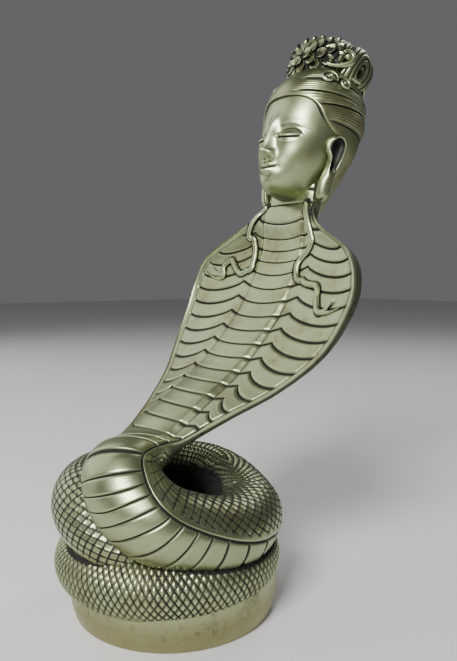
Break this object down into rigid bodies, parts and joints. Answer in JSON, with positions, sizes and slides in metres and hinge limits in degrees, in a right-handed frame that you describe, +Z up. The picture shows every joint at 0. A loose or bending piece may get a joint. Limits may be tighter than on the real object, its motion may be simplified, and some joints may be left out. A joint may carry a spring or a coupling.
{
  "type": "guanyin figure",
  "caption": "Cast metal cobra with a serene human head, spread hood and two coils, fused to a low round plinth.",
  "frame": {"origin": "middle of the plinth's flat round underside", "axes": "+Z up, away from the surface it stands on; the face and the hood's front look towards -Y; the figure's own left is +X"},
  "size_m": [0.0868, 0.1274, 0.1993],
  "materials": {
    "metal": "pale greenish gold cast brass with a near-black patina in every groove and rubbed bright edges"
  },
  "bodies": {
    "root": {"figure": "metal"}
  },
  "joints": []
}
